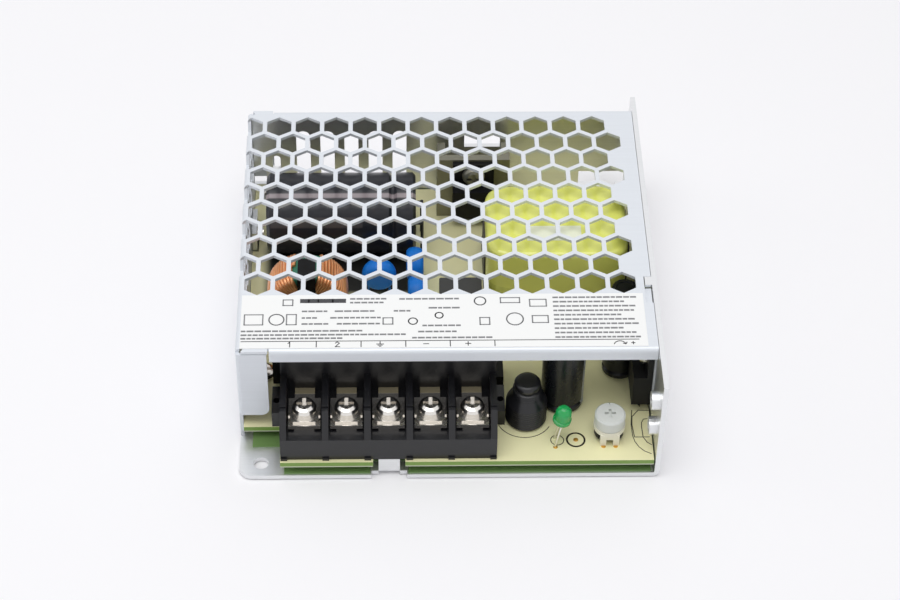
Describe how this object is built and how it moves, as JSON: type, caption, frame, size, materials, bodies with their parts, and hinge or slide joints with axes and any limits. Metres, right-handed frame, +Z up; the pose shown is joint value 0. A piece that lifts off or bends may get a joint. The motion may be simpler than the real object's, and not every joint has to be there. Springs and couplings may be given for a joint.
{
  "type": "mesh case switching power supply",
  "caption": "Low sheet-metal power supply with a hexagonal mesh cover over its circuit board, screw terminals along the front edge and an output adjuster.",
  "frame": {"origin": "centre of the bottom face of the case's outline box, between the foot's front edge and the rear foot's edge", "axes": "+X to the right as seen from the terminals, +Y from the terminals to the rear, +Z up; mm in the model, metres in the row"},
  "size_m": [0.097, 0.099, 0.03],
  "materials": {
    "case_steel": "plain rolled zinc-plated sheet",
    "cover_steel": "light bluish grey sheet, satin",
    "label_film": "plain white film",
    "insulator": "dark green sheet",
    "board": "pale board with a solder mask edge",
    "plated_steel": "bright nickel plate",
    "black_moulding": "satin black moulding",
    "sleeve": "shrunk sleeve, glossy",
    "copper_wire": "enamelled copper wire",
    "ferrite": "coated ring core",
    "dark_ferrite": "grey ferrite",
    "blue_disc": "dipped blue resin",
    "grey_box": "grey moulded box",
    "sink_plate": "plain aluminium",
    "tape": "yellow polyester tape",
    "green_lens": "tinted green lens",
    "cream_moulding": "cream moulding",
    "pale_knob": "pale grey moulding",
    "silicone_pad": "grey heat-conducting pad"
  },
  "bodies": {
    "case": {"chassis": "case_steel", "cover": "cover_steel", "label": "label_film", "insulating_sheet": "insulator", "circuit_board": "board", "board_standoffs": "plated_steel", "board_screws": "plated_steel", "cover_screws": "plated_steel", "terminal_block": "black_moulding", "terminal_plate_1": "plated_steel", "terminal_plate_2": "plated_steel", "terminal_plate_3": "plated_steel", "terminal_plate_4": "plated_steel", "terminal_plate_5": "plated_steel", "bulk_capacitor": "sleeve", "choke_core": "ferrite", "choke_winding_left": "copper_wire", "choke_winding_right": "copper_wire", "choke_divider": "black_moulding", "disc_capacitor_1": "blue_disc", "disc_capacitor_2": "blue_disc", "disc_capacitor_3": "blue_disc", "box_capacitor": "grey_box", "power_transistor": "black_moulding", "heat_sink": "sink_plate", "transistor_screw": "plated_steel", "transformer_core": "dark_ferrite", "transformer_bobbin": "black_moulding", "transformer_winding": "tape", "rod_inductor": "sleeve", "output_capacitor_1": "sleeve", "output_capacitor_2": "sleeve", "output_capacitor_3": "sleeve", "indicator_lamp": "green_lens", "lamp_leads": "plated_steel", "trimmer_base": "black_moulding", "trimmer_frame": "cream_moulding", "fuse": "black_moulding", "thermistor": "dark_ferrite", "bridge_rectifier": "black_moulding", "optocoupler": "black_moulding", "output_rectifier": "black_moulding", "rectifier_pad": "silicone_pad", "rectifier_screw": "plated_steel"},
    "adjuster": {"trimmer_knob": "pale_knob"},
    "clamp_1": {"clamp_washer_1": "plated_steel"},
    "screw_1": {"terminal_screw_1": "plated_steel"},
    "clamp_2": {"clamp_washer_2": "plated_steel"},
    "screw_2": {"terminal_screw_2": "plated_steel"},
    "clamp_3": {"clamp_washer_3": "plated_steel"},
    "screw_3": {"terminal_screw_3": "plated_steel"},
    "clamp_4": {"clamp_washer_4": "plated_steel"},
    "screw_4": {"terminal_screw_4": "plated_steel"},
    "clamp_5": {"clamp_washer_5": "plated_steel"},
    "screw_5": {"terminal_screw_5": "plated_steel"}
  },
  "joints": [
    {"name": "adjuster_turn", "type": "hinge", "parent": "case", "child": "adjuster", "pos_m": [0.037, -0.0412, 0.0094], "axis": [0, 0, 1], "range_deg": [-130, 130]},
    {"name": "clamp_1_lift", "type": "slide", "parent": "case", "child": "clamp_1", "axis": [0, 0, 1], "range_m": [0, 0.0025]},
    {"name": "screw_1_turn", "type": "hinge", "parent": "clamp_1", "child": "screw_1", "pos_m": [-0.03324, -0.0408, 0.014], "axis": [0, 0, 1], "range_deg": [0, 1800]},
    {"name": "clamp_2_lift", "type": "slide", "parent": "case", "child": "clamp_2", "axis": [0, 0, 1], "range_m": [0, 0.0025]},
    {"name": "screw_2_turn", "type": "hinge", "parent": "clamp_2", "child": "screw_2", "pos_m": [-0.02362, -0.0408, 0.014], "axis": [0, 0, 1], "range_deg": [0, 1800]},
    {"name": "clamp_3_lift", "type": "slide", "parent": "case", "child": "clamp_3", "axis": [0, 0, 1], "range_m": [0, 0.0025]},
    {"name": "screw_3_turn", "type": "hinge", "parent": "clamp_3", "child": "screw_3", "pos_m": [-0.014, -0.0408, 0.014], "axis": [0, 0, 1], "range_deg": [0, 1800]},
    {"name": "clamp_4_lift", "type": "slide", "parent": "case", "child": "clamp_4", "axis": [0, 0, 1], "range_m": [0, 0.0025]},
    {"name": "screw_4_turn", "type": "hinge", "parent": "clamp_4", "child": "screw_4", "pos_m": [-0.00438, -0.0408, 0.014], "axis": [0, 0, 1], "range_deg": [0, 1800]},
    {"name": "clamp_5_lift", "type": "slide", "parent": "case", "child": "clamp_5", "axis": [0, 0, 1], "range_m": [0, 0.0025]},
    {"name": "screw_5_turn", "type": "hinge", "parent": "clamp_5", "child": "screw_5", "pos_m": [0.00524, -0.0408, 0.014], "axis": [0, 0, 1], "range_deg": [0, 1800]}
  ]
}
